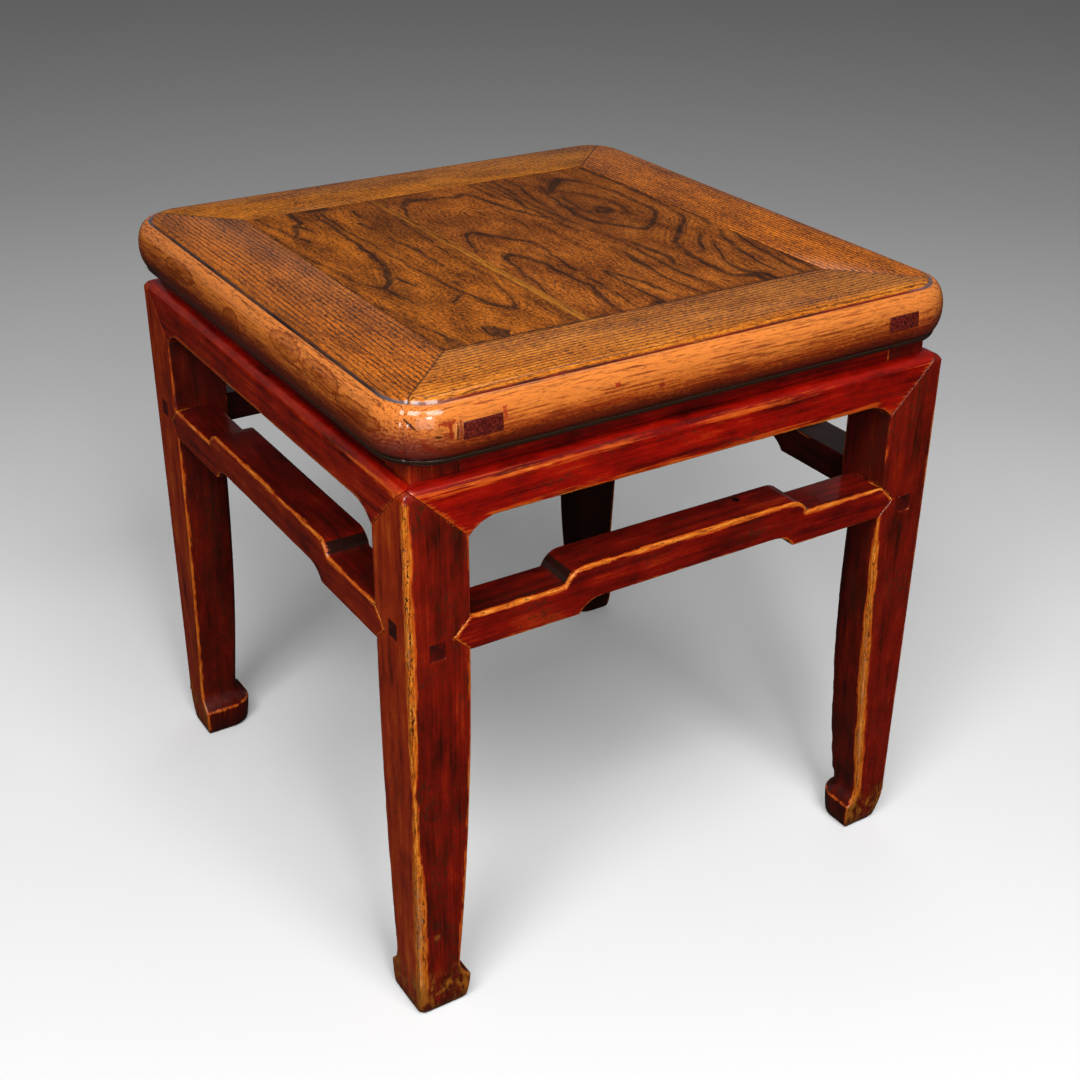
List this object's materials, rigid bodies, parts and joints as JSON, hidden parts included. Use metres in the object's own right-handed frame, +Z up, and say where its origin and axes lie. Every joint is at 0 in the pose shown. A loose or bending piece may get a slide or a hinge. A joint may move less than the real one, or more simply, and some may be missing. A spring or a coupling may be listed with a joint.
{
  "type": "waisted square stool",
  "caption": "Square waisted stool or low side table: mitred frame with floating panel, mitred aprons, humpback stretchers and legs on hoof feet.",
  "frame": {"origin": "on the floor under the middle of the top", "axes": "+Z up, front face towards -Y, +X to the right seen from the front; front and back edges of the top show the through tenons of its frame"},
  "size_m": [0.487, 0.492, 0.51],
  "materials": {
    "top_elm": "golden brown clear finish, waxed",
    "panel_elm": "brown clear finish, waxed, strong dark figure",
    "wedge_elm": "clear finish, worn",
    "red_lacquer": "dark red lacquer, glossy wax, worn to wood on the edges",
    "bare_elm": "unfinished, darkened by age"
  },
  "bodies": {
    "root": {"frame_rail_left": "top_elm", "frame_rail_right": "top_elm", "frame_rail_front": "top_elm", "frame_rail_back": "top_elm", "frame_wedge_front_left": "wedge_elm", "frame_wedge_front_right": "wedge_elm", "frame_wedge_back_left": "wedge_elm", "frame_wedge_back_right": "wedge_elm", "panel_board_narrow": "panel_elm", "panel_board_wide": "panel_elm", "batten_front": "bare_elm", "batten_back": "bare_elm", "waist_front": "red_lacquer", "waist_right": "red_lacquer", "waist_back": "red_lacquer", "waist_left": "red_lacquer", "apron_front": "red_lacquer", "apron_right": "red_lacquer", "apron_back": "red_lacquer", "apron_left": "red_lacquer", "leg_front_left": "red_lacquer", "leg_front_right": "red_lacquer", "leg_back_left": "red_lacquer", "leg_back_right": "red_lacquer", "stretcher_front": "red_lacquer", "stretcher_right": "red_lacquer", "stretcher_back": "red_lacquer", "stretcher_left": "red_lacquer"}
  },
  "joints": []
}
